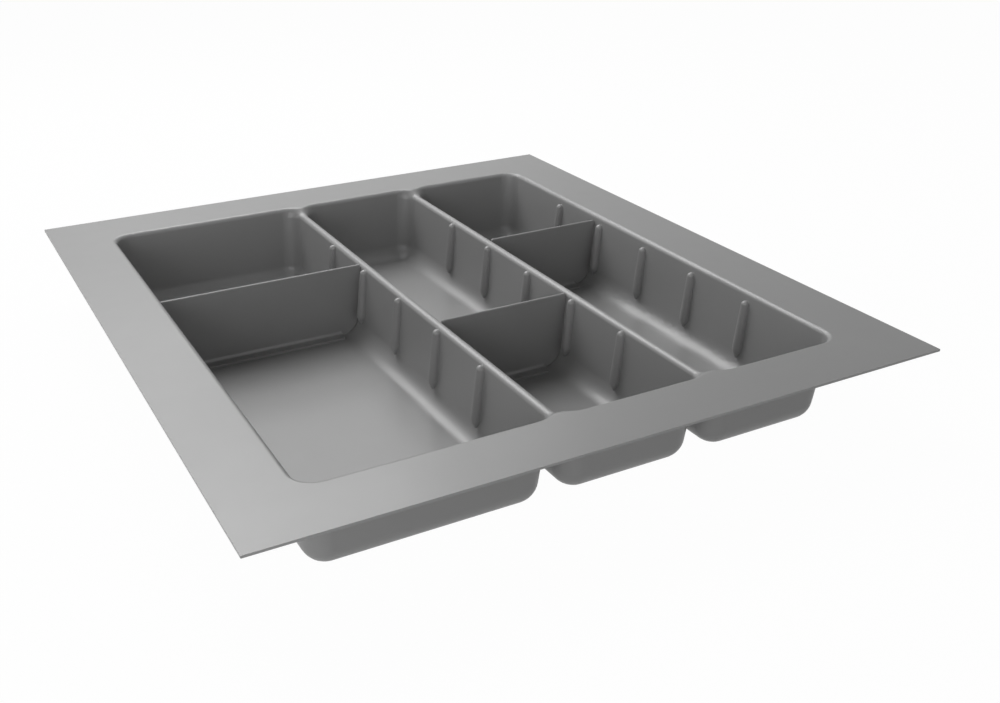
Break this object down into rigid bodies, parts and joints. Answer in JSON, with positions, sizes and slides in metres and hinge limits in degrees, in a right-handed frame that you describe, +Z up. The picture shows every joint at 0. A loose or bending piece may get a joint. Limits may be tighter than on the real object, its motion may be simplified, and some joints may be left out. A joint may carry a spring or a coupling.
{
  "type": "cutlery tray",
  "caption": "Drawer insert of one drafted plastic sheet: wide flat flange, lengthwise troughs with ribbed walls, and loose cross dividers that lift out.",
  "frame": {"origin": "under the middle of the flange's outline, on the plane of the trough undersides", "axes": "+X across the tray from the wide trough to the narrow ones, +Y to the back of the drawer, +Z up"},
  "size_m": [0.44, 0.495, 0.059],
  "materials": {
    "tray_sheet": "satin grey pressed polystyrene sheet",
    "divider_plate": "satin grey moulded polystyrene"
  },
  "bodies": {
    "tray": {"tray": "tray_sheet"},
    "wide_bay_divider": {"wide_bay_divider": "divider_plate"},
    "middle_bay_divider": {"middle_bay_divider": "divider_plate"},
    "right_bay_divider": {"right_bay_divider": "divider_plate"}
  },
  "joints": [
    {"name": "wide_bay_divider_lift", "type": "slide", "parent": "tray", "child": "wide_bay_divider", "axis": [0, 0, 1], "range_m": [0, 0.08]},
    {"name": "middle_bay_divider_lift", "type": "slide", "parent": "tray", "child": "middle_bay_divider", "axis": [0, 0, 1], "range_m": [0, 0.08]},
    {"name": "right_bay_divider_lift", "type": "slide", "parent": "tray", "child": "right_bay_divider", "axis": [0, 0, 1], "range_m": [0, 0.08]}
  ]
}
